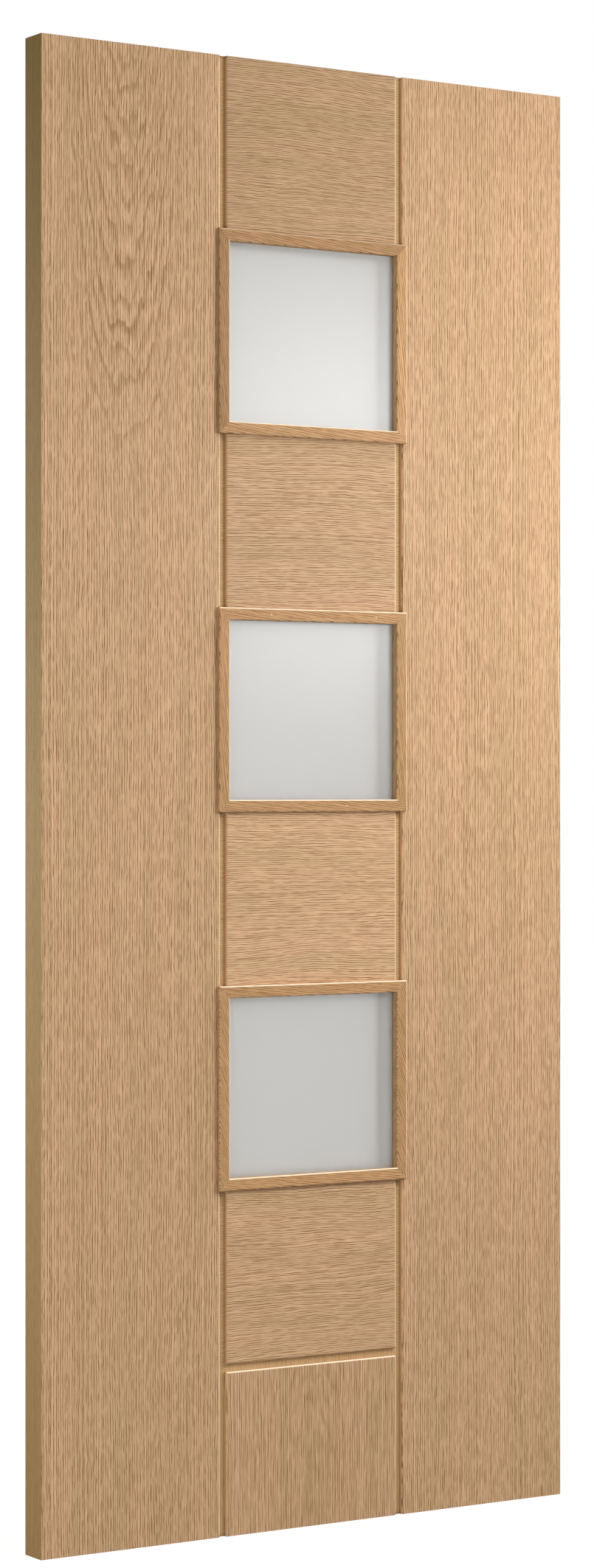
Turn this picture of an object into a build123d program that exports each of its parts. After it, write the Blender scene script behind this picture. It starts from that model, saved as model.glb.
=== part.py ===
# Glazed oak interior door leaf: two stiles, five centre boards, lipped long edges,
# three sealed obscure glass units and their mitred beads on both faces.
# The origin is on the hinge edge at the foot of the leaf, midway through its thickness.
# +X runs across the leaf to the lock edge, the front face looks along -Y and +Z is up.
import os

from build123d import *

os.makedirs("parts", exist_ok=True)

# Leaf
leaf_width = 838.0
leaf_height = 1981.0
leaf_thickness = 44.0

# Stiles, with a solid lipping glued to each long edge of the leaf
stile_width = 272.0
lipping_thickness = 8.0
edge_radius = 1.0

# Shadow grooves between the boards
groove_width = 10.0
groove_depth = 5.5
groove_radius = 2.5

# Centre boards, from the foot of the leaf up; the two middle rails share what is left
kick_panel_height = 220.0
base_rail_height = 237.0
light_height = 265.0
top_rail_height = 236.0

# Tongue and slot joints
tongue_thickness = 12.0
tongue_length = 11.0
slot_side_clearance = 0.15
slot_end_clearance = 1.0

# Sealed glass units
sheet_thickness = 4.0
spacer_depth = 26.0
spacer_width = 6.5
spacer_inset = 2.0
glass_edge_clearance = 3.0

# Glazing beads
bead_face_width = 16.5
bead_proud = 6.0
bead_lap = 4.5
bead_radius = 2.0
bead_side_clearance = 0.5
bead_bedding = 0.3
mitre_clearance = 0.2

# Sizes that follow from the ones above
half_leaf = leaf_thickness / 2
half_tongue = tongue_thickness / 2
half_slot = half_tongue + slot_side_clearance
slot_depth = tongue_length + slot_end_clearance
floor_depth = half_leaf - groove_depth
half_unit = spacer_depth / 2 + sheet_thickness

opening_left = stile_width
opening_right = leaf_width - stile_width
board_left = stile_width + groove_width
board_right = leaf_width - board_left
tongue_left = opening_left - tongue_length
tongue_right = opening_right + tongue_length

base_rail_foot = kick_panel_height + groove_width
lower_sill = base_rail_foot + base_rail_height
top_rail_foot = leaf_height - top_rail_height
lights = ["lower", "middle", "upper"]
mid_rail_count = len(lights) - 1
mid_rails_total = top_rail_foot - lower_sill - len(lights) * light_height
mid_rail_height = mid_rails_total / mid_rail_count
light_pitch = light_height + mid_rail_height


def save(part, label):
    part.label = label
    export_step(part, f"parts/{label}.step")


# Edge lippings: a solid strip on each long edge, its outer arrises eased
def make_lipping(label, outer_x, inner_x):
    with BuildPart() as lipping:
        with BuildSketch(Plane.XY) as section:
            with BuildLine():
                Polyline(
                    (outer_x, -half_leaf),
                    (inner_x, -half_leaf),
                    (inner_x, half_leaf),
                    (outer_x, half_leaf),
                    close=True,
                )
            make_face()
            outer_corners = section.vertices().filter_by_position(Axis.X, outer_x, outer_x)
            fillet(outer_corners, radius=edge_radius)
        extrude(amount=leaf_height)
    save(lipping.part, label)


# Stiles: full height, slotted along the inner edge for the tongues of the centre boards
def make_stile(label, outer_x, inner_x):
    slot_x = inner_x - slot_depth if inner_x > outer_x else inner_x + slot_depth
    with BuildPart() as stile:
        with BuildSketch(Plane.XY) as section:
            with BuildLine():
                Polyline(
                    (outer_x, -half_leaf),
                    (inner_x, -half_leaf),
                    (inner_x, -half_slot),
                    (slot_x, -half_slot),
                    (slot_x, half_slot),
                    (inner_x, half_slot),
                    (inner_x, half_leaf),
                    (outer_x, half_leaf),
                    close=True,
                )
            make_face()
            inner_corners = section.vertices().filter_by_position(Axis.X, inner_x, inner_x)
            front_corner = inner_corners.sort_by(Axis.Y)[0]
            back_corner = inner_corners.sort_by(Axis.Y)[-1]
            fillet([front_corner, back_corner], radius=groove_radius)
        extrude(amount=leaf_height)
    save(stile.part, label)


# Section of a centre board: its faces stop short of the stiles, so the shoulders below
# them are the floors of the grooves, and a tongue at each side enters the stile
board_points = [
    (board_left, -half_leaf),
    (board_right, -half_leaf),
    (board_right, -floor_depth),
    (opening_right, -floor_depth),
    (opening_right, -half_tongue),
    (tongue_right, -half_tongue),
    (tongue_right, half_tongue),
    (opening_right, half_tongue),
    (opening_right, floor_depth),
    (board_right, floor_depth),
    (board_right, half_leaf),
    (board_left, half_leaf),
    (board_left, floor_depth),
    (opening_left, floor_depth),
    (opening_left, half_tongue),
    (tongue_left, half_tongue),
    (tongue_left, -half_tongue),
    (opening_left, -half_tongue),
    (opening_left, -floor_depth),
    (board_left, -floor_depth),
]


def face_corner_edges(builder):
    upright = builder.edges().filter_by(Axis.Z)
    front = upright.filter_by_position(Axis.Y, -half_leaf, -half_leaf)
    back = upright.filter_by_position(Axis.Y, half_leaf, half_leaf)
    return front + back


def face_end_edges(builder, height):
    level = builder.edges().filter_by(Axis.X).filter_by_position(Axis.Z, height, height)
    front = level.filter_by_position(Axis.Y, -half_leaf, -half_leaf)
    back = level.filter_by_position(Axis.Y, half_leaf, half_leaf)
    return front + back


# Rails beside the lights
def make_rail(label, foot, height):
    with BuildPart() as rail:
        with BuildSketch(Plane.XY.offset(foot)):
            with BuildLine():
                Polyline(board_points, close=True)
            make_face()
        extrude(amount=height)
        fillet(face_corner_edges(rail), radius=groove_radius)
    save(rail.part, label)


make_lipping("hinge_edge_lipping", 0.0, lipping_thickness)
make_lipping("lock_edge_lipping", leaf_width, leaf_width - lipping_thickness)
make_stile("hinge_stile", lipping_thickness, opening_left)
make_stile("lock_stile", leaf_width - lipping_thickness, opening_right)

make_rail("top_rail", top_rail_foot, top_rail_height)
make_rail("upper_mid_rail", lower_sill + light_pitch + light_height, mid_rail_height)
make_rail("lower_mid_rail", lower_sill + light_height, mid_rail_height)

# Base rail: slotted along its foot for the tongue of the kick panel
with BuildPart() as base_rail:
    with BuildSketch(Plane.XY.offset(base_rail_foot)):
        with BuildLine():
            Polyline(board_points, close=True)
        make_face()
    extrude(amount=base_rail_height)
    with BuildSketch(Plane.YZ.offset(tongue_left)):
        with BuildLine():
            Polyline(
                (-half_slot, base_rail_foot),
                (half_slot, base_rail_foot),
                (half_slot, base_rail_foot + slot_depth),
                (-half_slot, base_rail_foot + slot_depth),
                close=True,
            )
        make_face()
    extrude(amount=tongue_right - tongue_left, mode=Mode.SUBTRACT)
    base_arrises = face_corner_edges(base_rail) + face_end_edges(base_rail, base_rail_foot)
    fillet(base_arrises, radius=groove_radius)
save(base_rail.part, "base_rail")

# Kick panel: its shoulder is the floor of the level groove, its tongue enters the base rail
with BuildPart() as kick_panel:
    with BuildSketch(Plane.XY):
        with BuildLine():
            Polyline(board_points, close=True)
        make_face()
    extrude(amount=base_rail_foot)
    with BuildSketch(Plane.YZ.offset(tongue_left)):
        with BuildLine():
            Polyline(
                (-half_leaf, kick_panel_height),
                (-floor_depth, kick_panel_height),
                (-floor_depth, base_rail_foot),
                (-half_leaf, base_rail_foot),
                close=True,
            )
        make_face()
        mirror(about=Plane.YZ)
    extrude(amount=tongue_right - tongue_left, mode=Mode.SUBTRACT)
    with BuildSketch(Plane.XY.offset(base_rail_foot)):
        with BuildLine():
            Polyline(
                (tongue_left, -half_tongue),
                (tongue_right, -half_tongue),
                (tongue_right, half_tongue),
                (tongue_left, half_tongue),
                close=True,
            )
        make_face()
    extrude(amount=tongue_length)
    kick_arrises = face_corner_edges(kick_panel) + face_end_edges(kick_panel, kick_panel_height)
    fillet(kick_arrises, radius=groove_radius)
save(kick_panel.part, "kick_panel")


# Corners of a rectangle on the front plane, given by its left, right, bottom and top
def rectangle_points(left, right, bottom, top):
    return [(left, bottom), (right, bottom), (right, top), (left, top)]


# Sealed unit of one light: two obscure sheets and the spacer bar between them
def make_unit(light, sill):
    left = opening_left + glass_edge_clearance
    right = opening_right - glass_edge_clearance
    bottom = sill + glass_edge_clearance
    top = sill + light_height - glass_edge_clearance
    sheet = rectangle_points(left, right, bottom, top)
    near = spacer_inset
    far = spacer_inset + spacer_width
    ring_outside = rectangle_points(left + near, right - near, bottom + near, top - near)
    ring_inside = rectangle_points(left + far, right - far, bottom + far, top - far)
    with BuildPart() as front_sheet:
        with BuildSketch(Plane.XZ.offset(spacer_depth / 2)):
            with BuildLine():
                Polyline(sheet, close=True)
            make_face()
        extrude(amount=sheet_thickness)
    save(front_sheet.part, f"{light}_front_glass")
    with BuildPart() as back_sheet:
        with BuildSketch(Plane.XZ.offset(-half_unit)):
            with BuildLine():
                Polyline(sheet, close=True)
            make_face()
        extrude(amount=sheet_thickness)
    save(back_sheet.part, f"{light}_back_glass")
    with BuildPart() as spacer:
        with BuildSketch(Plane.XZ.offset(-spacer_depth / 2)):
            with BuildLine():
                Polyline(ring_outside, close=True)
            make_face()
            with BuildLine():
                Polyline(ring_inside, close=True)
            make_face(mode=Mode.SUBTRACT)
        extrude(amount=spacer_depth)
    save(spacer.part, f"{light}_glass_spacer")


# Bead section, measured outwards from the sight line and away from the middle of the leaf:
# a leg stands in the opening against the glass and a cap laps over the face of the leaf
bead_inset = bead_face_width - bead_lap
bead_leg = bead_inset - bead_side_clearance
bead_seat = half_unit + bead_bedding
bead_front = half_leaf + bead_proud
bead_points = [
    (0.0, bead_seat),
    (bead_leg, bead_seat),
    (bead_leg, half_leaf),
    (bead_face_width, half_leaf),
    (bead_face_width, bead_front),
    (0.0, bead_front),
]


# Mitred outline of one bead as seen from the front
def mitred_outline(side, left, right, bottom, top):
    half_mitre = mitre_clearance / 2
    width = bead_face_width
    if side == "sill":
        return [
            (left - width + half_mitre, bottom - width),
            (right + width - half_mitre, bottom - width),
            (right - half_mitre, bottom),
            (left + half_mitre, bottom),
        ]
    if side == "head":
        return [
            (left - width + half_mitre, top + width),
            (left + half_mitre, top),
            (right - half_mitre, top),
            (right + width - half_mitre, top + width),
        ]
    if side == "hinge":
        return [
            (left - width, bottom - width + half_mitre),
            (left, bottom + half_mitre),
            (left, top - half_mitre),
            (left - width, top + width - half_mitre),
        ]
    return [
        (right + width, bottom - width + half_mitre),
        (right + width, top + width - half_mitre),
        (right, top - half_mitre),
        (right, bottom + half_mitre),
    ]


def make_bead(light, face, side, sill):
    outwards = -1 if face == "front" else 1
    left = opening_left + bead_inset
    right = opening_right - bead_inset
    bottom = sill + bead_inset
    top = sill + light_height - bead_inset
    level = side in ("sill", "head")
    sight_line = {"sill": bottom, "head": top, "hinge": left, "lock": right}[side]
    away = -1 if side in ("sill", "hinge") else 1
    with BuildPart() as bead:
        with BuildSketch(Plane.YZ if level else Plane.XY) as section:
            with BuildLine():
                if level:
                    Polyline([(outwards * d, sight_line + away * a) for a, d in bead_points], close=True)
                else:
                    Polyline([(sight_line + away * a, outwards * d) for a, d in bead_points], close=True)
            make_face()
            across = Axis.X if level else Axis.Y
            cap_edge = outwards * bead_front
            cap_corners = section.vertices().filter_by_position(across, cap_edge, cap_edge)
            fillet(cap_corners, radius=bead_radius)
        extrude(amount=leaf_width if level else leaf_height)
        with BuildSketch(Plane.XZ):
            with BuildLine():
                Polyline(mitred_outline(side, left, right, bottom, top), close=True)
            make_face()
        extrude(amount=2 * bead_front, both=True, mode=Mode.INTERSECT)
    save(bead.part, f"{light}_{face}_{side}_bead")


for number, light in enumerate(lights):
    sill = lower_sill + number * light_pitch
    make_unit(light, sill)
    for face in ("front", "back"):
        for side in ("sill", "head", "hinge", "lock"):
            make_bead(light, face, side, sill)
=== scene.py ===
import math

import bmesh
import bpy
from mathutils import Matrix, Vector


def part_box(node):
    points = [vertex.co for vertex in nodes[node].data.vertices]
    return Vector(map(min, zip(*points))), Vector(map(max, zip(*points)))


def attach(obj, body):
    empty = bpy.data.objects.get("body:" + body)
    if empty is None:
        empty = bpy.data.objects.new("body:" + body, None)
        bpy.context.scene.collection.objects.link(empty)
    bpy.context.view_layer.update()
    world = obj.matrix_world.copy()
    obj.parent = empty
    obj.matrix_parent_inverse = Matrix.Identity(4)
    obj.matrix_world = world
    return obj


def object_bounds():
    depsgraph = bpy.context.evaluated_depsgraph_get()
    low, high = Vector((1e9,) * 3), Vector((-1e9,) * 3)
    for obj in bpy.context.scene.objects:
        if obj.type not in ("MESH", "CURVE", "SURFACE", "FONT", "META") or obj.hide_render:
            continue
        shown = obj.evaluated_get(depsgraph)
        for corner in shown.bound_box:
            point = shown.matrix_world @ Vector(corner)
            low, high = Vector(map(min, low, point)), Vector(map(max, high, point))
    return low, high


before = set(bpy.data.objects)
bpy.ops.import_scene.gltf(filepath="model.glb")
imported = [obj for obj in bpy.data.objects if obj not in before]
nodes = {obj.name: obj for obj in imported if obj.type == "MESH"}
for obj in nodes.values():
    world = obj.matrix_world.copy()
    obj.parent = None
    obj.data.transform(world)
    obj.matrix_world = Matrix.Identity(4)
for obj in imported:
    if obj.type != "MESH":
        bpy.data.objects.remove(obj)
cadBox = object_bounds()
print("frame loaded:", len(nodes), "nodes")

scene = bpy.context.scene
scene.view_settings.view_transform = "Standard"

mm = 0.001
leafLow, leafHigh = [Vector(corner) for corner in cadBox]
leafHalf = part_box("hinge_stile")[1][1] / mm  # half the leaf's thickness; the beads stand proud of it
lights = ("upper", "middle", "lower")
faces = ("front", "back")
beadSides = ("hinge", "lock", "head", "sill")


# sRGB hex to the linear colour that sockets want
def tint(hexText):
    channels = [int(hexText[i:i + 2], 16) / 255 for i in (1, 3, 5)]
    linear = [c / 12.92 if c <= 0.04045 else ((c + 0.055) / 1.055) ** 2.4 for c in channels]
    return (*linear, 1.0)


# one node with its settings; a socket in inputs is linked, anything else is set
def addNode(tree, kind, inputs=None, **settings):
    made = tree.nodes.new("ShaderNode" + kind)
    for name, value in settings.items():
        setattr(made, name, value)
    for name, value in (inputs or {}).items():
        if isinstance(value, bpy.types.NodeSocket):
            tree.links.new(value, made.inputs[name])
        else:
            made.inputs[name].default_value = value
    return made


def newMaterial(name):
    material = bpy.data.materials.new(name)
    material.use_nodes = True
    material.node_tree.nodes.clear()
    return material, material.node_tree


# What all the oak has in common: sizes are in mm, pairs are the ends of a range
figure = {
    "trembleSize": (14.0, 14.0, 14.0), "trembleShift": 2.3,
    "ringRise": 0.12, "ringFall": (0.15, 0.6), "faintRing": 0.3, "fullShare": 0.4,
    "strayReach": (5.0, 30.0, 5.0), "lineLean": 0.7, "linePlay": (0.25, 0.75), "lineApart": 7.3,
    "dashSoft": 0.25, "coarseShift": 3.7, "finePitch": 0.68, "fineShift": 11.3,
    "fibreRange": (0.25, 0.75), "driftRange": (0.36, 0.64), "blushRange": (0.62, 0.78), "blushShift": 5.1,
    # the turns for arrises and for the side toward the light shape the painted arris highlight; the depths
    # below shape the painted bounce light in grooves
    "edgeTurn": (0.6, 0.8), "endTurn": (0.75, 0.95), "arrisTurn": (0.99, 0.92), "towardLightTurn": (-0.1, 0.15),
    "grooveRange": (0.8, 2.5), "headAndFoot": (0.998, 0.995),
    "poreRough": 0.2, "fibreRelief": 0.4, "relief": 0.2, "ior": 1.5, "specular": 0.12,
}


# Oak, sliced and lacquered. The eye gets broken brown pore lines along the grain, ragged arches where a board
# is crown cut, long streaks a little rosier or greener, gold-tinted grooves that are partly painted bounce
# light, paler arrises with a painted highlight and a satin skin that dips at the pores. Sizes in a look are
# in mm too, given across the grain, along it and into the board.
def oakMaterial(name, look):
    material, tree = newMaterial(name)
    coords = addNode(tree, "TexCoord")
    inMm = addNode(tree, "VectorMath", {0: coords.outputs["Object"], 3: 1 / mm}, operation="SCALE")
    axes = addNode(tree, "SeparateXYZ", {0: inMm.outputs[0]})
    acrossAxis, alongAxis = ("X", "Z") if look["grain"] == "upright" else ("Z", "X")
    across, along, depth = axes.outputs[acrossAxis], axes.outputs[alongAxis], axes.outputs["Y"]
    skewed = addNode(tree, "Math", {0: along, 1: look["skew"], 2: across}, operation="MULTIPLY_ADD")
    board = addNode(tree, "CombineXYZ", {0: skewed.outputs[0], 1: along, 2: depth})

    def noiseOf(vector, size, detail=1.0, roughness=0.5, shift=0.0):
        place = [p + shift for p in look["place"]]
        placed = addNode(tree, "Mapping", {0: vector, "Location": place, "Scale": [1 / s for s in size]})
        return addNode(tree, "TexNoise", {"Vector": placed.outputs[0], "Scale": 1.0, "Detail": detail,
                                          "Roughness": roughness}).outputs[0]

    # the grain sways a little as it runs, and each fibre trembles
    bend = noiseOf(board.outputs[0], look["swaySize"])
    sway = addNode(tree, "Math", {0: bend, 1: 0.5}, operation="SUBTRACT")
    swayed = addNode(tree, "Math", {0: sway.outputs[0], 1: look["sway"], 2: skewed.outputs[0]},
                     operation="MULTIPLY_ADD")
    shiver = noiseOf(board.outputs[0], figure["trembleSize"], shift=figure["trembleShift"])
    tremble = addNode(tree, "Math", {0: shiver, 1: 0.5}, operation="SUBTRACT")
    trembled = addNode(tree, "Math", {0: tremble.outputs[0], 1: look["tremble"], 2: swayed.outputs[0]},
                       operation="MULTIPLY_ADD")
    grain = addNode(tree, "CombineXYZ", {0: trembled.outputs[0], 1: along, 2: depth}).outputs[0]

    # growth rings about a heart that leans as it runs, so the face cuts them in arches; jag frays their edges
    fromHeart = addNode(tree, "Math", {0: swayed.outputs[0], 1: look["heart"]}, operation="SUBTRACT")
    leanAt = addNode(tree, "Math", {0: along, 1: 1 / look["leanSize"], 2: look["place"][1]},
                     operation="MULTIPLY_ADD")
    lean = addNode(tree, "TexNoise", {"W": leanAt.outputs[0], "Scale": 1.0, "Detail": 1.0},
                   noise_dimensions="1D")
    leanMm = addNode(tree, "Math", {0: lean.outputs[0], 1: look["lean"], 2: look["heartDepth"]},
                     operation="MULTIPLY_ADD")
    slopeMm = addNode(tree, "Math", {0: along, 1: look["slope"], 2: leanMm.outputs[0]},
                      operation="MULTIPLY_ADD")
    deep = addNode(tree, "Math", {0: slopeMm.outputs[0], 1: depth}, operation="ADD")
    reach = addNode(tree, "CombineXYZ", {0: fromHeart.outputs[0], 1: deep.outputs[0], 2: 0.0})
    radius = addNode(tree, "VectorMath", {0: reach.outputs[0]}, operation="LENGTH")
    aside = addNode(tree, "Math", {0: fromHeart.outputs[0]}, operation="ABSOLUTE")
    nearHeart = addNode(tree, "MapRange", {0: aside.outputs[0], 1: look["crown"],
                                           2: figure["fullShare"] * look["crown"]},
                        interpolation_type="SMOOTHSTEP")
    frayed = addNode(tree, "Math", {0: noiseOf(grain, look["jagSize"], 2.0), 1: look["jag"],
                                    2: radius.outputs["Value"]}, operation="MULTIPLY_ADD")
    rings = addNode(tree, "Math", {0: frayed.outputs[0], 1: 1 / look["ringWidth"]}, operation="MULTIPLY")
    ringPart = addNode(tree, "Math", {0: rings.outputs[0]}, operation="FRACT")
    ringNumber = addNode(tree, "Math", {0: rings.outputs[0]}, operation="FLOOR")
    ringKind = addNode(tree, "TexWhiteNoise", {"W": ringNumber.outputs[0]}, noise_dimensions="1D")
    onset = addNode(tree, "MapRange", {0: ringPart.outputs[0], 1: 0.0, 2: figure["ringRise"]},
                    interpolation_type="SMOOTHSTEP")
    fadeFrom, fadeTo = figure["ringFall"]
    fade = addNode(tree, "MapRange", {0: ringPart.outputs[0], 1: fadeFrom, 2: fadeTo, 3: 1.0, 4: 0.0},
                   interpolation_type="SMOOTHSTEP")
    early = addNode(tree, "Math", {0: onset.outputs[0], 1: fade.outputs[0]}, operation="MULTIPLY")
    kind = addNode(tree, "MapRange", {0: ringKind.outputs["Value"], 3: figure["faintRing"], 4: 1.0})
    fromArches = addNode(tree, "Math", {0: along, 1: look["archAt"]}, operation="SUBTRACT")
    upOrDown = addNode(tree, "Math", {0: fromArches.outputs[0]}, operation="ABSOLUTE")
    nearArches = addNode(tree, "MapRange", {0: upOrDown.outputs[0], 1: look["archReach"],
                                            2: figure["fullShare"] * look["archReach"]},
                         interpolation_type="SMOOTHSTEP")
    crown = addNode(tree, "Math", {0: nearHeart.outputs[0], 1: nearArches.outputs[0]}, operation="MULTIPLY")
    inCrown = addNode(tree, "Math", {0: kind.outputs[0], 1: crown.outputs[0]}, operation="MULTIPLY")
    earlyInCrown = addNode(tree, "Math", {0: early.outputs[0], 1: inCrown.outputs[0]}, operation="MULTIPLY")
    earlyWood = earlyInCrown.outputs[0]

    # pore lines: one to each pitch, set off its middle by chance and fading in and out along its length.
    # Early wood shows more of them. Real pores are too fine to show here, so they are drawn coarser.
    def poreLines(pitch, shift):
        stray = noiseOf(grain, [size * pitch for size in figure["strayReach"]], shift=shift)
        inPitch = addNode(tree, "Math", {0: trembled.outputs[0], 1: 1 / pitch, 2: shift},
                          operation="MULTIPLY_ADD")
        strayed = addNode(tree, "Math", {0: stray, 1: look["poreStray"], 2: inPitch.outputs[0]},
                          operation="MULTIPLY_ADD")
        deeper = addNode(tree, "Math", {0: depth, 1: figure["lineLean"] / pitch, 2: strayed.outputs[0]},
                         operation="MULTIPLY_ADD")
        number = addNode(tree, "Math", {0: deeper.outputs[0]}, operation="FLOOR").outputs[0]
        part = addNode(tree, "Math", {0: deeper.outputs[0]}, operation="FRACT").outputs[0]
        chance = addNode(tree, "TexWhiteNoise", {"W": number}, noise_dimensions="1D").outputs["Value"]
        playLow, playHigh = figure["linePlay"]
        middle = addNode(tree, "MapRange", {0: chance, 3: playLow, 4: playHigh}).outputs[0]
        off = addNode(tree, "Math", {0: part, 1: middle}, operation="SUBTRACT")
        away = addNode(tree, "Math", {0: off.outputs[0]}, operation="ABSOLUTE")
        thin = addNode(tree, "MapRange", {0: away.outputs[0], 1: look["poreWidth"], 2: 0.0},
                       interpolation_type="SMOOTHSTEP").outputs[0]
        inDashes = addNode(tree, "Math", {0: along, 1: 1 / look["dash"], 2: look["place"][0]},
                           operation="MULTIPLY_ADD")
        lineAt = addNode(tree, "Math", {0: number, 1: figure["lineApart"]}, operation="MULTIPLY")
        dashAt = addNode(tree, "CombineXYZ", {0: lineAt.outputs[0], 1: inDashes.outputs[0]})
        breaks = addNode(tree, "TexNoise", {"Vector": dashAt.outputs[0], "Scale": 1.0, "Detail": 1.0},
                         noise_dimensions="2D").outputs[0]
        broken = addNode(tree, "Math", {0: earlyWood, 1: look["crowd"], 2: breaks}, operation="MULTIPLY_ADD")
        shows = addNode(tree, "MapRange", {0: broken.outputs[0], 1: look["gaps"],
                                           2: look["gaps"] + figure["dashSoft"], 3: look["faintest"]},
                        interpolation_type="SMOOTHSTEP").outputs[0]
        return addNode(tree, "Math", {0: thin, 1: shows}, operation="MULTIPLY").outputs[0]

    finePores = poreLines(figure["finePitch"] * look["porePitch"], figure["fineShift"])
    coarsePores = poreLines(look["porePitch"], figure["coarseShift"])
    both = addNode(tree, "Math", {0: finePores, 1: look["finePores"], 2: coarsePores},
                   operation="MULTIPLY_ADD", use_clamp=True)
    pores = both.outputs[0]

    # fibres, long slow streaks and a few red flecks
    low, high = figure["fibreRange"]
    fibreNoise = noiseOf(grain, look["fibreSize"], 1.0, 0.6)
    fibre = addNode(tree, "MapRange", {0: fibreNoise, 1: low, 2: high}).outputs[0]
    low, high = figure["driftRange"]
    driftNoise = noiseOf(grain, look["driftSize"], 3.0)
    drift = addNode(tree, "MapRange", {0: driftNoise, 1: low, 2: high}).outputs[0]
    low, high = figure["blushRange"]
    blushNoise = noiseOf(grain, look["blushSize"], 2.0, shift=figure["blushShift"])
    blush = addNode(tree, "MapRange", {0: blushNoise, 1: low, 2: high, 4: look["blush"]},
                    interpolation_type="SMOOTHSTEP").outputs[0]

    # how far up the leaf: 0 at the foot, 1 at the top
    heightPart = addNode(tree, "MapRange", {0: axes.outputs["Z"], 1: leafLow.z / mm,
                                            2: leafHigh.z / mm}).outputs[0]

    # the colours of an edge, in even steps from the foot of the leaf to its top; on the hinge edge they hold
    # painted shade, darkest at the top
    def upTheLeaf(colours):
        ramp = addNode(tree, "ValToRGB", {0: heightPart})
        stops = ramp.color_ramp.elements
        for number in range(len(colours) - 2):
            stops.new((number + 1) / (len(colours) - 1))
        for stop, colour in zip(stops, colours):
            stop.color = tint(colour)
        return ramp.outputs[0]

    surface = addNode(tree, "NewGeometry")
    facing = addNode(tree, "VectorMath", {0: surface.outputs["True Normal"]}, operation="ABSOLUTE")
    facingAxes = addNode(tree, "SeparateXYZ", {0: facing.outputs[0]})
    # each piece's ground is scaled by its shade: partly tone that differs from piece to piece, partly painted
    # light and shade down and across the face
    ground = [part * look["shade"] for part in tint(look["ground"])[:3]]
    poreDepth = look["poreDepth"]
    # on the hinge edge the edge colours paint shade
    if "edge" in look:  # a lipping shows its own quiet wood on the edge and the veneer on its faces
        low, high = figure["edgeTurn"]
        onEdge = addNode(tree, "MapRange", {0: facingAxes.outputs["X"], 1: low, 2: high}).outputs[0]
        ground = addNode(tree, "Mix", {0: onEdge, 6: (*ground, 1.0), 7: upTheLeaf(look["edge"])},
                         data_type="RGBA").outputs[2]
        edgePores = addNode(tree, "MapRange", {0: onEdge, 3: look["poreDepth"], 4: look["edgePores"]})
        poreDepth = edgePores.outputs[0]

    # colour: the ground with its streaks and fibres, then the flecks, the early wood and the pores
    cast = addNode(tree, "Mix", {"Factor": drift, 4: look["rosy"], 5: look["olive"]}, data_type="VECTOR")
    casted = addNode(tree, "VectorMath", {0: ground, 1: cast.outputs[1]}, operation="MULTIPLY")
    streak = addNode(tree, "Mix", {"Factor": fibre, 4: look["darkFibre"], 5: look["paleFibre"]},
                     data_type="VECTOR")
    streaked = addNode(tree, "VectorMath", {0: casted.outputs[0], 1: streak.outputs[1]}, operation="MULTIPLY")
    blushed = addNode(tree, "Mix", {0: blush, 6: streaked.outputs[0], 7: tint(look["red"])}, data_type="RGBA")
    ringAmount = addNode(tree, "Math", {0: earlyWood, 1: look["ringDepth"]}, operation="MULTIPLY")
    ringed = addNode(tree, "Mix", {0: ringAmount.outputs[0], 6: blushed.outputs[2], 7: tint(look["ring"])},
                     data_type="RGBA")
    poreAmount = addNode(tree, "Math", {0: pores, 1: poreDepth}, operation="MULTIPLY")
    pored = addNode(tree, "Mix", {0: poreAmount.outputs[0], 6: ringed.outputs[2], 7: tint(look["pore"])},
                    data_type="RGBA")

    # routed grooves and the sides of beads turn gold: partly the fresher wood that routing shows, partly
    # painted bounce light that lifts their shade; the head and foot of the leaf don't
    fromFace, toFloor = figure["grooveRange"]
    fromCore = addNode(tree, "Math", {0: depth}, operation="ABSOLUTE")
    sunk = addNode(tree, "MapRange", {0: fromCore.outputs[0], 1: leafHalf - fromFace,
                                      2: leafHalf - toFloor}).outputs[0]
    upOrDownLeaf = addNode(tree, "MapRange", {0: heightPart, 3: -1.0, 4: 1.0})
    toEnd = addNode(tree, "Math", {0: upOrDownLeaf.outputs[0]}, operation="ABSOLUTE")
    atEnd, inside = figure["headAndFoot"]
    within = addNode(tree, "MapRange", {0: toEnd.outputs[0], 1: atEnd, 2: inside}).outputs[0]
    sunkAwayFromEnds = addNode(tree, "Math", {0: sunk, 1: within}, operation="MULTIPLY")
    grooveBounceAmount = addNode(tree, "Math", {0: sunkAwayFromEnds.outputs[0], 1: look["grooveShare"]}, operation="MULTIPLY")
    grooved = addNode(tree, "Mix", {0: grooveBounceAmount.outputs[0], 6: pored.outputs[2], 7: tint(look["groove"])},
                      data_type="RGBA")

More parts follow.
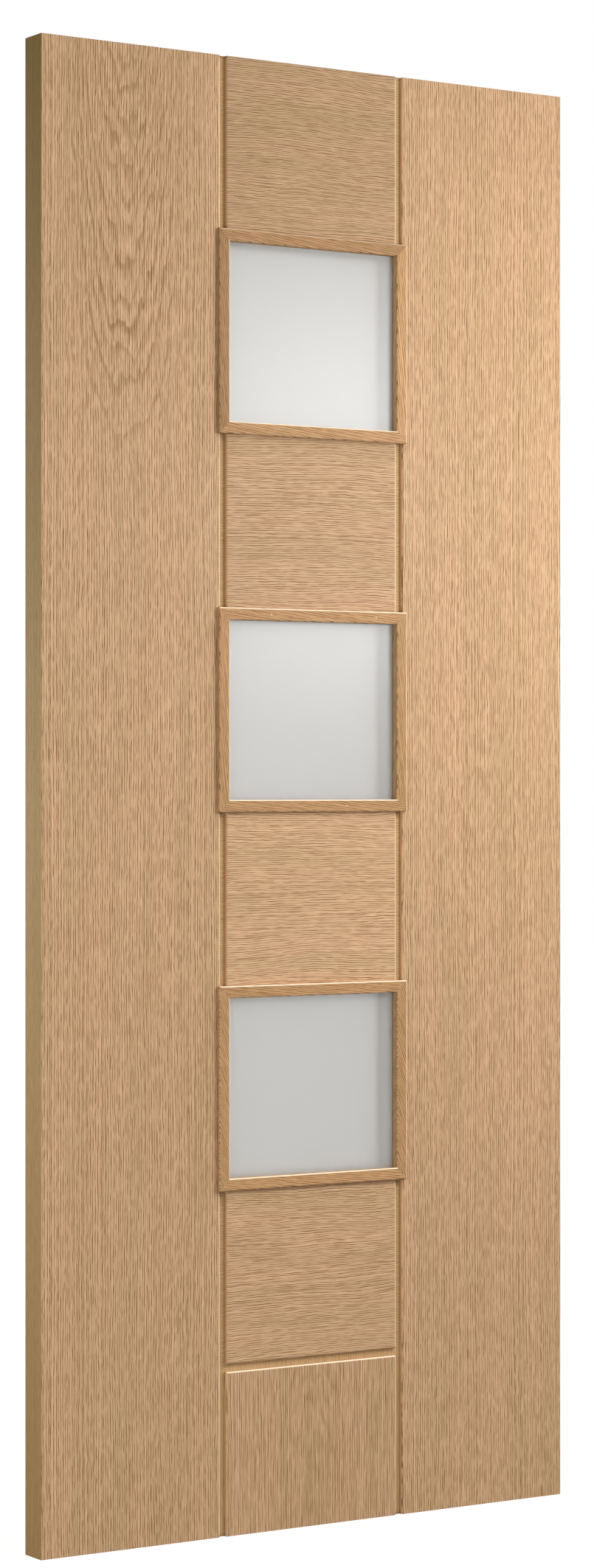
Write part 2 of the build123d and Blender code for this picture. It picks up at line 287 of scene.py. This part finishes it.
    # cut ends drink more lacquer and turn darker; arrises are paler from sanding and carry a painted
    # highlight, strongest on those turned toward the lock and top, where the light comes from
    low, high = figure["endTurn"]
    cutEnd = addNode(tree, "MapRange", {0: facingAxes.outputs[alongAxis], 1: low, 2: high,
                                        4: look["endDepth"]})
    ended = addNode(tree, "Mix", {0: cutEnd.outputs[0], 6: grooved.outputs[2], 7: tint(look["pore"])},
                    data_type="RGBA")
    wider = addNode(tree, "Math", {0: facingAxes.outputs["X"], 1: facingAxes.outputs["Y"]},
                    operation="MAXIMUM")
    widest = addNode(tree, "Math", {0: wider.outputs[0], 1: facingAxes.outputs["Z"]}, operation="MAXIMUM")
    flat, turned = figure["arrisTurn"]
    arrisPaleAndLitShare = addNode(tree, "MapRange", {0: widest.outputs[0], 1: flat, 2: turned, 3: 0.0, 4: look["arrisPaleAndLitShare"]})
    towardTheLight = addNode(tree, "VectorMath", {0: surface.outputs["True Normal"], 1: (1, 0, 1)},
                           operation="DOT_PRODUCT")
    low, high = figure["towardLightTurn"]
    litSide = addNode(tree, "MapRange", {0: towardTheLight.outputs["Value"], 1: low, 2: high,
                                            3: look["arrisAwayFromLight"]})
    litArrisMask = addNode(tree, "Math", {0: arrisPaleAndLitShare.outputs[0], 1: litSide.outputs[0]}, operation="MULTIPLY")
    paleArrisAndHighlight = addNode(tree, "Math", {0: litArrisMask.outputs[0], 1: within}, operation="MULTIPLY")
    colour = addNode(tree, "Mix", {0: paleArrisAndHighlight.outputs[0], 6: ended.outputs[2], 7: tint(look["paleArrisAndHighlight"])},
                     data_type="RGBA")

    rough = addNode(tree, "MapRange", {0: pores, 3: look["rough"], 4: look["rough"] + figure["poreRough"]})
    raised = addNode(tree, "Math", {0: fibre, 1: figure["fibreRelief"]}, operation="MULTIPLY")
    height = addNode(tree, "Math", {0: raised.outputs[0], 1: pores}, operation="SUBTRACT")
    bump = addNode(tree, "Bump", {"Strength": look["bump"], "Distance": figure["relief"] * mm,
                                  "Height": height.outputs[0]})
    skin = addNode(tree, "BsdfPrincipled", {"Base Color": colour.outputs[2], "Roughness": rough.outputs[0],
                                            "Normal": bump.outputs[0], "IOR": figure["ior"],
                                            "Specular IOR Level": figure["specular"]})
    addNode(tree, "OutputMaterial", {0: skin.outputs[0]})
    return material


def finishWith(name, material):
    nodes[name].data.materials.clear()
    nodes[name].data.materials.append(material)


# crown-cut veneer of the hinge stile; the other boards change what differs
veneer = {
    "grain": "upright", "place": (3.1, 0.4, 0.0), "skew": 0.0,
    "heart": 128.0, "heartDepth": 333.0, "crown": 115.0, "lean": 30.0, "leanSize": 520.0, "slope": -0.15,
    "archAt": 1770.0, "archReach": 400.0,
    "ringWidth": 5.8, "swaySize": (160.0, 600.0, 200.0), "sway": 16.0, "tremble": 1.6,
    "jagSize": (16.0, 110.0, 16.0), "jag": 14.0,
    "porePitch": 3.5, "poreStray": 1.2, "poreWidth": 0.2, "dash": 20.0, "gaps": 0.36, "faintest": 0.35,
    "crowd": 0.05, "finePores": 0.8, "poreDepth": 1.0,
    "fibreSize": (1.2, 18.0, 1.2), "driftSize": (24.0, 500.0, 30.0),
    "blushSize": (7.0, 50.0, 7.0), "blush": 0.35, "red": "#b87a4c",
    "ground": "#d6b088", "shade": 1.0,
    # shares of the ground colour
    "rosy": (1.05, 1.03, 1.05), "olive": (0.95, 0.97, 0.94),
    "darkFibre": (0.88, 0.86, 0.83), "paleFibre": (1.12, 1.14, 1.17),
    "ring": "#8f6a38", "ringDepth": 0.52, "pore": "#6c4212",
    # the pale arris colour and its shares paint a highlight on the arrises, over the paler wood that sanding
    # leaves, with little on those turned from the light
    "endDepth": 0.25, "paleArrisAndHighlight": "#fff0d2", "arrisPaleAndLitShare": 0.8, "arrisAwayFromLight": 0.12,
    # the gold colour and its share, laid in grooves, are partly fresher routed wood and partly painted bounce
    # light
    "groove": "#dcb37a", "grooveShare": 0.5, "rough": 0.42, "bump": 0.5,
}
# rails: the same veneer laid level, with a closer figure
levelGrain = {"grain": "level", "ringWidth": 3.6, "porePitch": 2.9, "poreDepth": 0.93, "dash": 26.0,
              "crowd": 0.03, "swaySize": (70.0, 220.0, 90.0), "sway": 18.0, "slope": 0.03, "lean": 20.0,
              "heartDepth": 250.0, "ringDepth": 0.15, "crown": 70.0, "archAt": 419.0, "archReach": 400.0}

# the rails' shades follow painted light down the face, darkest at the top rail; the lock stile's is partly a
# painted highlight
boards = {
    "hinge_stile": {},
    "lock_stile": {"place": (8.7, 5.2, 0.0), "heart": 700.0, "ringDepth": 0.12, "poreDepth": 1.0,
                   "archAt": 1150.0, "archReach": 700.0, "slope": -0.12, "heartDepth": 223.0,
                   "shade": 1.04},
    "top_rail": {**levelGrain, "heart": 1860.0, "place": (1.2, 2.5, 0.0), "shade": 0.85},
    "upper_mid_rail": {**levelGrain, "heart": 1370.0, "place": (4.2, 7.5, 0.0), "shade": 0.95},
    "lower_mid_rail": {**levelGrain, "heart": 860.0, "place": (6.6, 1.9, 0.0), "shade": 1.08},
    "base_rail": {**levelGrain, "heart": 350.0, "place": (2.9, 9.1, 0.0), "shade": 1.05},
    "kick_panel": {"heart": 419.0, "place": (5.3, 3.3, 0.0), "slope": 0.12, "heartDepth": 60.0,
                   "archAt": 110.0, "archReach": 400.0, "ringDepth": 0.2, "porePitch": 3.2, "dash": 36.0},
}
for board, own in boards.items():
    finishWith(board, oakMaterial("crown-cut oak veneer " + board, {**veneer, **own}))
print("veneered boards:", len(boards))

# each lipping carries the veneer of its stile on its faces
# on the lippings the painted arris highlight is weaker and grooves get no painted bounce light
lipping = {"edgePores": 0.25, "arrisPaleAndLitShare": 0.3, "grooveShare": 0.0}
# the hinge edge's tones are painted shade: darker than the veneer and darkest toward the top; the lock edge
# keeps one tone
edgeTonesWithShade = {"hinge": ("#b08a55", "#c8a878", "#866b2a"),
                "lock": ("#c3a276", "#c3a276")}
for side, edge in edgeTonesWithShade.items():
    look = {**veneer, **boards[side + "_stile"], **lipping, "edge": edge}
    finishWith(side + "_edge_lipping", oakMaterial("lipped oak edge " + side, look))

# plain-sawn strips, each cut from its own stick: the grain runs out across them, most on the lower light
# beads carry a stronger painted arris highlight and half the painted bounce light on their sides
bead = {**veneer, "heart": -600.0, "sway": 4.0, "skew": 0.12, "porePitch": 3.1, "dash": 20.0, "blush": 0.2,
        "ground": "#c69b6e", "poreDepth": 0.85, "paleArrisAndHighlight": "#fff2d4", "arrisPaleAndLitShare": 0.85, "grooveShare": 0.25}
# the shade numbers here are partly painted light and shade: paler on the upper lock and lower sill beads,
# darker on the upper hinge and head beads; the upper head bead also keeps little painted arris highlight
beadOwn = {("lower", "hinge"): {"skew": 0.4}, ("lower", "lock"): {"skew": 0.4},
           ("upper", "hinge"): {"shade": 0.75}, ("upper", "lock"): {"shade": 1.15},
           ("upper", "head"): {"shade": 0.85, "arrisPaleAndLitShare": 0.3}, ("lower", "sill"): {"shade": 1.1}}
stickStep = (1.7, 2.3, 0.0)  # moves the grain on from stick to stick
for light in lights:
    for number, side in enumerate(beadSides):
        look = {**bead, **beadOwn.get((light, side), {})}
        look["place"] = [step * number for step in stickStep]
        look["grain"] = "level" if side in ("head", "sill") else "upright"
        finish = oakMaterial(f"planed oak bead {light} {side}", look)
        for face in faces:
            finishWith(f"{light}_{face}_{side}_bead", finish)
print("beads and lippings finished")


# Pin holes of the middle light's beads, stopped with pale filler that stands a hair proud of the lacquer
pins = {"across": 2.4, "proud": 0.12, "sunk": 0.6, "rim": 0.1, "rimSteps": 3, "sides": 20,
        "fill": "#dfc49a", "speckSize": 0.5, "speck": (0.85, 1.1), "rough": 0.7,
        "places": {"middle_front_head_bead": (0.27, 0.83), "middle_front_sill_bead": (0.67,)}}


def fillerMaterial():
    material, tree = newMaterial("pale wood filler")
    coords = addNode(tree, "TexCoord")
    speck = addNode(tree, "TexNoise", {"Vector": coords.outputs["Object"],
                                       "Scale": 1 / (pins["speckSize"] * mm)})
    darker, paler = pins["speck"]
    shade = addNode(tree, "MapRange", {0: speck.outputs[0], 3: darker, 4: paler})
    colour = addNode(tree, "VectorMath", {0: tint(pins["fill"])[:3], 3: shade.outputs[0]}, operation="SCALE")
    skin = addNode(tree, "BsdfPrincipled", {"Base Color": colour.outputs[0], "Roughness": pins["rough"]})
    addNode(tree, "OutputMaterial", {0: skin.outputs[0]})
    return material


filler = fillerMaterial()
for beadName, shares in pins["places"].items():
    low, high = [Vector(corner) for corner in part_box(beadName)]
    for number, share in enumerate(shares, 1):
        plug = bmesh.new()
        bmesh.ops.create_circle(plug, cap_ends=True, segments=pins["sides"], radius=pins["across"] / 2 * mm)
        pulled = bmesh.ops.extrude_face_region(plug, geom=plug.faces[:])["geom"]
        top = [v for v in pulled if isinstance(v, bmesh.types.BMVert)]
        bmesh.ops.translate(plug, verts=top, vec=(0, 0, (pins["sunk"] + pins["proud"]) * mm))
        topEdges = [e for e in plug.edges if e.verts[0] in top and e.verts[1] in top]
        bmesh.ops.bevel(plug, geom=topEdges, offset=pins["rim"] * mm, segments=pins["rimSteps"], profile=0.5,
                        affect="EDGES", material=-1)
        bmesh.ops.recalc_face_normals(plug, faces=plug.faces)
        bmesh.ops.rotate(plug, verts=plug.verts, matrix=Matrix.Rotation(math.radians(90), 3, "X"))
        place = (low.x + share * (high.x - low.x), low.y + pins["sunk"] * mm, (low.z + high.z) / 2)
        bmesh.ops.translate(plug, verts=plug.verts, vec=place)
        data = bpy.data.meshes.new(f"{beadName}_pin_{number}")
        plug.to_mesh(data)
        plug.free()
        data.materials.append(filler)
        pin = bpy.data.objects.new(data.name, data)
        scene.collection.objects.link(pin)
        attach(pin, "root")
print("pin holes filled:", sum(len(shares) for shares in pins["places"].values()))


# Satin float glass, acid etched: a soft white that lets blurred light through
satin = {"colour": "#ebeae8", "rough": 0.3, "through": 0.78, "ior": 1.52,
         "cloudSize": 60.0, "cloudRough": 0.015, "frostSize": 0.8, "frostBump": 0.05, "frostDepth": 0.02}


def glassMaterial():
    material, tree = newMaterial("satin etched float glass")
    coords = addNode(tree, "TexCoord")
    cloud = addNode(tree, "TexNoise", {"Vector": coords.outputs["Object"],
                                       "Scale": 1 / (satin["cloudSize"] * mm), "Detail": 2.0})
    rough = addNode(tree, "MapRange", {0: cloud.outputs[0], 3: satin["rough"] - satin["cloudRough"],
                                       4: satin["rough"] + satin["cloudRough"]})
    frost = addNode(tree, "TexNoise", {"Vector": coords.outputs["Object"],
                                       "Scale": 1 / (satin["frostSize"] * mm)})
    bump = addNode(tree, "Bump", {"Strength": satin["frostBump"], "Distance": satin["frostDepth"] * mm,
                                  "Height": frost.outputs[0]})
    skin = addNode(tree, "BsdfPrincipled", {"Base Color": tint(satin["colour"]),
                                            "Roughness": rough.outputs[0], "IOR": satin["ior"],
                                            "Transmission Weight": satin["through"],
                                            "Normal": bump.outputs[0]})
    addNode(tree, "OutputMaterial", {0: skin.outputs[0]})
    return material


# Aluminium spacer bar in white lacquer: matt, with a faint mottle
spacer = {"colour": "#f2f1ee", "rough": 0.6, "mottle": 0.08, "mottleSize": 0.5}


def spacerMaterial():
    material, tree = newMaterial("white lacquered aluminium spacer bar")
    coords = addNode(tree, "TexCoord")
    mottle = addNode(tree, "TexNoise", {"Vector": coords.outputs["Object"],
                                        "Scale": 1 / (spacer["mottleSize"] * mm)})
    rough = addNode(tree, "MapRange", {0: mottle.outputs[0], 3: spacer["rough"] - spacer["mottle"],
                                       4: spacer["rough"] + spacer["mottle"]})
    skin = addNode(tree, "BsdfPrincipled", {"Base Color": tint(spacer["colour"]),
                                            "Roughness": rough.outputs[0]})
    addNode(tree, "OutputMaterial", {0: skin.outputs[0]})
    return material


satinGlass = glassMaterial()
spacerBar = spacerMaterial()
for light in lights:
    finishWith(light + "_front_glass", satinGlass)
    finishWith(light + "_back_glass", satinGlass)
    finishWith(light + "_glass_spacer", spacerBar)
print("glass units finished")


# Studio: white floor and background, a high soft key from the right, a side lamp by the lock stile, a strip
# that grazes the face, a wide fill from the hinge side and a lamp for the back. Through the glass the floor
# shows as a pale grey, so the lowest pane is darker than the others.
studio = {"floorSize": 12.0, "floor": "#6f6d6b", "floorGlow": 0.9, "glowThrough": 0.12, "ambient": 0.42,
          "key": 1.72, "keyAngle": 50.0, "keyFrom": (0.5, -0.5, 0.7),
          "lampAt": (1.25, -1.05, 1.5), "lampAim": (0.7, 0.0, 1.4), "lampPower": 9.0, "lampSize": 0.6,
          "stripAt": (3.2, -0.35, 1.15), "stripAim": (0.42, 0.0, 1.0), "stripPower": 18.0,
          "stripSize": 0.5, "stripHeight": 2.2,
          "fillAt": (-2.0, -1.2, 0.5), "fillAim": (0.3, 0.0, 0.6), "fillPower": 28.0, "fillSize": 1.5,
          "backAt": (0.6, 2.6, 1.5), "backAim": (0.42, 0.0, 1.0), "backPower": 45.0, "backSize": 1.6}

floorMesh = bmesh.new()
bmesh.ops.create_grid(floorMesh, x_segments=1, y_segments=1, size=studio["floorSize"])
bmesh.ops.translate(floorMesh, verts=floorMesh.verts, vec=(0, 0, leafLow.z))
floorData = bpy.data.meshes.new("floor")
floorMesh.to_mesh(floorData)
floorMesh.free()
floor = bpy.data.objects.new("floor", floorData)
scene.collection.objects.link(floor)
floorFinish, floorTree = newMaterial("white studio floor")
floorSkin = addNode(floorTree, "BsdfDiffuse", {"Color": tint(studio["floor"])})
floorRays = addNode(floorTree, "LightPath")
floorSeen = addNode(floorTree, "Math", {0: floorRays.outputs["Is Camera Ray"],
                                        1: floorRays.outputs["Is Glossy Ray"]}, operation="MAXIMUM")
floorThrough = addNode(floorTree, "Math", {0: floorRays.outputs["Is Transmission Ray"],
                                           1: studio["glowThrough"]}, operation="MULTIPLY")
floorLevel = addNode(floorTree, "MapRange", {0: floorSeen.outputs[0], 3: floorThrough.outputs[0],
                                             4: studio["floorGlow"]})
floorGlow = addNode(floorTree, "Emission", {"Color": tint("#ffffff"), "Strength": floorLevel.outputs[0]})
floorBoth = addNode(floorTree, "AddShader", {0: floorSkin.outputs[0], 1: floorGlow.outputs[0]})
addNode(floorTree, "OutputMaterial", {0: floorBoth.outputs[0]})
floorData.materials.append(floorFinish)

world = bpy.data.worlds.new("studio")
scene.world = world
world.use_nodes = True
sky = world.node_tree
sky.nodes.clear()
rays = addNode(sky, "LightPath")
seen = addNode(sky, "Math", {0: rays.outputs["Is Camera Ray"], 1: rays.outputs["Is Glossy Ray"]},
               operation="MAXIMUM")
seenThrough = addNode(sky, "Math", {0: seen.outputs[0], 1: rays.outputs["Is Transmission Ray"]},
                      operation="MAXIMUM")
level = addNode(sky, "MapRange", {0: seenThrough.outputs[0], 3: studio["ambient"], 4: 1.0})
glow = addNode(sky, "Background", {"Color": tint("#ffffff"), "Strength": level.outputs[0]})
addNode(sky, "OutputWorld", {0: glow.outputs[0]})

keyData = bpy.data.lights.new("key", "SUN")
keyData.energy = studio["key"]
keyData.angle = math.radians(studio["keyAngle"])
key = bpy.data.objects.new("key", keyData)
key.rotation_euler = Vector(studio["keyFrom"]).to_track_quat("Z", "Y").to_euler()
key.visible_transmission = False  # the glass shows the white background, not the lamps
scene.collection.objects.link(key)


def areaLamp(name, part, height=None):
    data = bpy.data.lights.new(name, "AREA")
    data.energy = studio[part + "Power"]
    data.size = studio[part + "Size"]
    if height:
        data.shape = "RECTANGLE"
        data.size_y = height
    made = bpy.data.objects.new(name, data)
    made.location = studio[part + "At"]
    away = Vector(studio[part + "At"]) - Vector(studio[part + "Aim"])
    made.rotation_euler = away.to_track_quat("Z", "Y").to_euler()
    made.visible_transmission = False
    scene.collection.objects.link(made)


areaLamp("side lamp", "lamp")
areaLamp("fill from the hinge side", "fill")
areaLamp("back lamp", "back")
areaLamp("strip lamp", "strip", studio["stripHeight"])  # arrises turned to it catch a line
print("studio lit")

# Camera: level, to the left of the leaf, so the hinge edge shows
view = {"at": (-2.335, -4.270, 1.0068), "turn": 32.716, "lens": 85.63, "sensor": 36.0}
cameraData = bpy.data.cameras.new("camera")
cameraData.lens = view["lens"]
cameraData.sensor_width = view["sensor"]
camera = bpy.data.objects.new("camera", cameraData)
camera.location = view["at"]
camera.rotation_euler = (math.radians(90), 0, -math.radians(view["turn"]))
scene.collection.objects.link(camera)
scene.camera = camera
print("camera placed")
